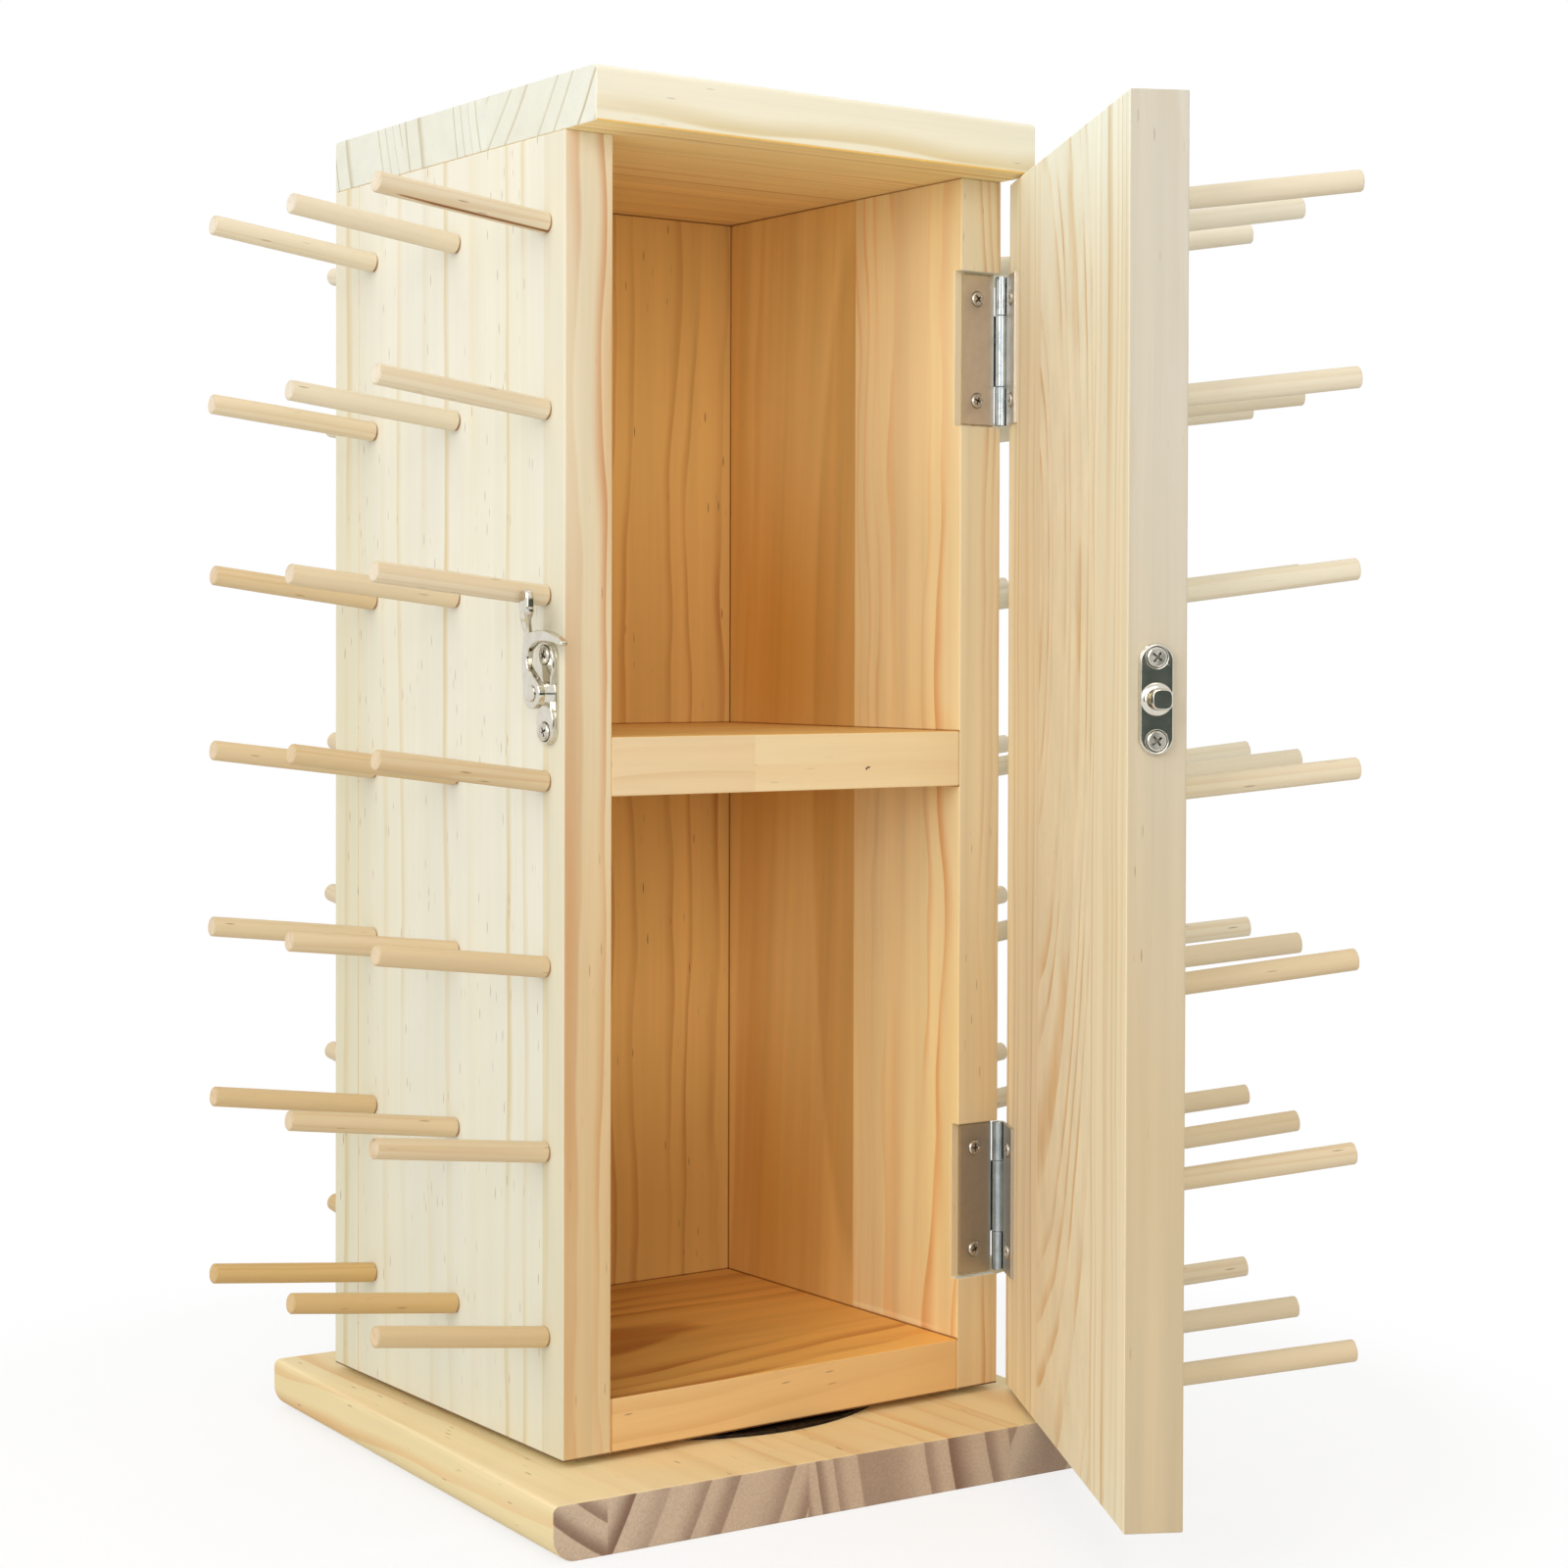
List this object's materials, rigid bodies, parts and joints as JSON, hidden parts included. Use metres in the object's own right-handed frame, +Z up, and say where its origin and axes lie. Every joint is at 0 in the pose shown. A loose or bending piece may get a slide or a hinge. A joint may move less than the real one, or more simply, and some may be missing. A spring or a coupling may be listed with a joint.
{
  "type": "thread rack",
  "caption": "Revolving wooden thread rack: a small cabinet with a shelf and a hinged, latched door, slanted spool pegs on its four faces, turning on a base board.",
  "frame": {"origin": "centre of the base board's underside, on the axis about which the cabinet turns", "axes": "+Z up along the turning axis; the cabinet's door side faces -Y; the door is hinged on the +X side and the latch is on the -X side"},
  "size_m": [0.2538, 0.3318, 0.3879],
  "materials": {
    "case_wood": "clear satin varnish on planed pine",
    "base_wood": "clear satin varnish on planed pine",
    "peg_wood": "plain hardwood dowel",
    "turntable_black": "black stove enamel",
    "steel": "bright zinc plated",
    "hinge_nickel": "satin nickel plate",
    "latch_nickel": "polished nickel plate"
  },
  "bodies": {
    "base": {"base_board": "base_wood", "turntable_lower_disc": "turntable_black", "turntable_rivet": "steel", "turntable_lower_screws": "steel"},
    "ball_ring": {"turntable_cage": "turntable_black", "turntable_balls": "steel"},
    "cabinet": {"turntable_upper_disc": "turntable_black", "turntable_upper_screws": "steel", "bottom_board": "case_wood", "left_panel": "case_wood", "right_panel": "case_wood", "back_board": "case_wood", "top_board": "case_wood", "shelf": "case_wood", "case_dowels": "peg_wood", "pegs_left_front": "peg_wood", "pegs_left_middle": "peg_wood", "pegs_left_back": "peg_wood", "pegs_right_front": "peg_wood", "pegs_right_middle": "peg_wood", "pegs_right_back": "peg_wood", "pegs_back_left": "peg_wood", "pegs_back_middle": "peg_wood", "pegs_back_right": "peg_wood", "hinge_upper_case_leaf": "hinge_nickel", "hinge_lower_case_leaf": "hinge_nickel", "hinge_pins": "hinge_nickel", "hinge_case_screws": "hinge_nickel", "latch_plate": "latch_nickel", "latch_pivot": "latch_nickel", "latch_screws": "latch_nickel"},
    "door": {"door_panel": "case_wood", "pegs_door_latch_side": "peg_wood", "pegs_door_middle": "peg_wood", "pegs_door_hinge_side": "peg_wood", "hinge_upper_door_leaf": "hinge_nickel", "hinge_lower_door_leaf": "hinge_nickel", "hinge_door_screws": "hinge_nickel", "keeper_plate": "latch_nickel", "keeper_post": "latch_nickel", "keeper_screws": "latch_nickel"},
    "latch_hook": {"latch_hook": "latch_nickel"}
  },
  "joints": [
    {"name": "turntable_spin", "type": "hinge", "parent": "base", "child": "cabinet", "pos_m": [0, 0, 0.0186], "axis": [0, 0, 1], "continuous": true},
    {"name": "ball_ring_spin", "type": "hinge", "parent": "base", "child": "ball_ring", "pos_m": [0, 0, 0.0186], "axis": [0, 0, 1], "continuous": true},
    {"name": "door_hinge", "type": "hinge", "parent": "cabinet", "child": "door", "pos_m": [0.0766, -0.05815, 0.1978], "axis": [0, 0, 1], "range_deg": [-61.5, 48.5]},
    {"name": "latch_swing", "type": "hinge", "parent": "cabinet", "child": "latch_hook", "pos_m": [-0.08, -0.0524, 0.2227], "axis": [1, 0, 0], "range_deg": [0, 54]}
  ],
  "couplings": [
    {"joint": "ball_ring_spin", "follows": "turntable_spin", "ratio": 0.5}
  ]
}
